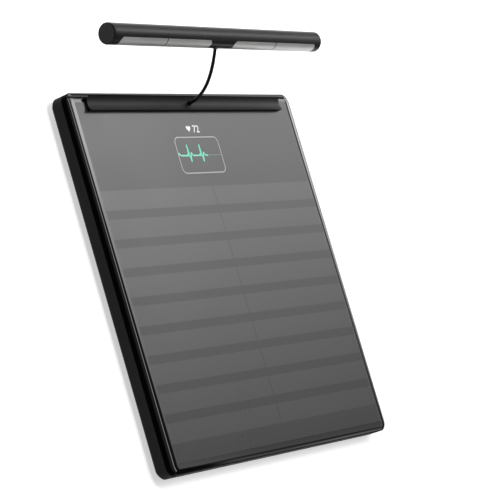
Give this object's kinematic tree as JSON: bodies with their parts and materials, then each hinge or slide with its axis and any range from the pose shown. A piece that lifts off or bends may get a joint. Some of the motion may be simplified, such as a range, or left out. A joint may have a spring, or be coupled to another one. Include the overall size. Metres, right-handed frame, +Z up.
{
  "type": "smart bathroom scale",
  "caption": "Square glass bathroom scale with flush electrode strips and a round sensing handle that lifts off a rear dock on a retracting cord.",
  "frame": {"origin": "on the floor, under the middle of the whole object's box at rest, handle included", "axes": "+X to the right for someone who stands on it and faces the display, +Y towards the display, the dock and the handle, +Z up from the floor"},
  "size_m": [0.327, 0.3688, 0.0824],
  "materials": {
    "platform_glass": "polished, black from behind",
    "strip_coating": "thin clear conductive coating, a little lighter",
    "frame_gloss": "gloss black",
    "case_matt": "fine matt texture",
    "inner_plastic": "as moulded",
    "soft_rubber": "smooth soft rubber",
    "pad_rubber": "matt",
    "tape_foam": "foam tape",
    "display_panel": "dark panel",
    "board": "green lacquer",
    "film": "amber film",
    "battery_wrap": "shrink wrap",
    "wire_red": "insulation",
    "wire_white": "insulation",
    "steel": "brushed",
    "electrode_steel": "fine satin",
    "spring_steel": "blued",
    "cord_jacket": "satin jacket",
    "handle_plastic": "satin",
    "dock_plastic": "satin",
    "pulley_plastic": "acetal"
  },
  "bodies": {
    "base": {"base_tray": "case_matt", "mid_frame": "frame_gloss", "glass_tape": "tape_foam", "glass_plate": "platform_glass", "electrodes_left": "strip_coating", "electrodes_right": "strip_coating", "electrode_flex": "film", "handle_dock": "dock_plastic", "cord_grommet": "soft_rubber", "display_module": "display_panel", "display_flex": "film", "main_board": "board", "battery_pack": "battery_wrap", "battery_lead": "wire_red", "side_board": "board", "charging_port": "steel", "button_switch": "inner_plastic", "load_cell_front_left": "steel", "load_cell_front_right": "steel", "load_cell_rear_left": "steel", "load_cell_rear_right": "steel", "cell_brackets": "inner_plastic", "cell_leads": "wire_white", "foot_front_left": "inner_plastic", "foot_front_right": "inner_plastic", "foot_rear_left": "inner_plastic", "foot_rear_right": "inner_plastic", "pad_front_left": "pad_rubber", "pad_front_right": "pad_rubber", "pad_rear_left": "pad_rubber", "pad_rear_right": "pad_rubber", "reel_case": "inner_plastic", "reel_cover": "inner_plastic", "reel_spring": "spring_steel", "reel_axle": "steel", "pulley_bracket": "inner_plastic", "pulley_pin": "steel", "inner_cord": "cord_jacket", "frame_screws": "steel", "inner_screws": "steel", "cord": "cord_jacket"},
    "drum": {"reel_drum": "inner_plastic", "reel_winding": "cord_jacket"},
    "pulley": {"guide_pulley": "pulley_plastic"},
    "button": {"setup_button": "handle_plastic", "switch_plunger": "inner_plastic"},
    "cord_end": {"cord_barrel": "steel"},
    "handle": {"handle_tube": "handle_plastic", "handle_cap_left": "handle_plastic", "handle_cap_right": "handle_plastic", "handle_electrode_1": "electrode_steel", "handle_electrode_2": "electrode_steel", "handle_electrode_3": "electrode_steel", "handle_electrode_4": "electrode_steel", "handle_core": "inner_plastic", "handle_board": "board", "cord_boot": "soft_rubber"}
  },
  "joints": [
    {"name": "handle_pull", "type": "slide", "parent": "base", "child": "cord_end", "axis": [0, -0.7208, -0.6932], "range_m": [0, 0.0571], "deforming": ["cord"]},
    {"name": "handle_swing", "type": "hinge", "parent": "cord_end", "child": "handle", "pos_m": [0, 0.17283, 0.07193], "axis": [1, 0, 0], "range_deg": [0, 62.01]},
    {"name": "reel_spin", "type": "hinge", "parent": "base", "child": "drum", "pos_m": [0.028, 0.00912, 0.0125], "axis": [0, 0, 1], "range_deg": [0, 120.2], "deforming": ["reel_winding", "reel_spring"]},
    {"name": "pulley_turn", "type": "hinge", "parent": "base", "child": "pulley", "pos_m": [0, 0.12777, 0.01365], "axis": [-1, 0, 0], "range_deg": [0, 862.6]},
    {"name": "button_press", "type": "slide", "parent": "base", "child": "button", "axis": [0, -1, 0], "range_m": [0, 0.0008], "stiffness_N_per_m": 1000, "springref_m": -0.001}
  ],
  "couplings": [
    {"joint": "handle_swing", "follows": "handle_pull", "rad_per_m": 18.952},
    {"joint": "reel_spin", "follows": "handle_pull", "rad_per_m": 36.707},
    {"joint": "pulley_turn", "follows": "handle_pull", "rad_per_m": 263.53}
  ]
}
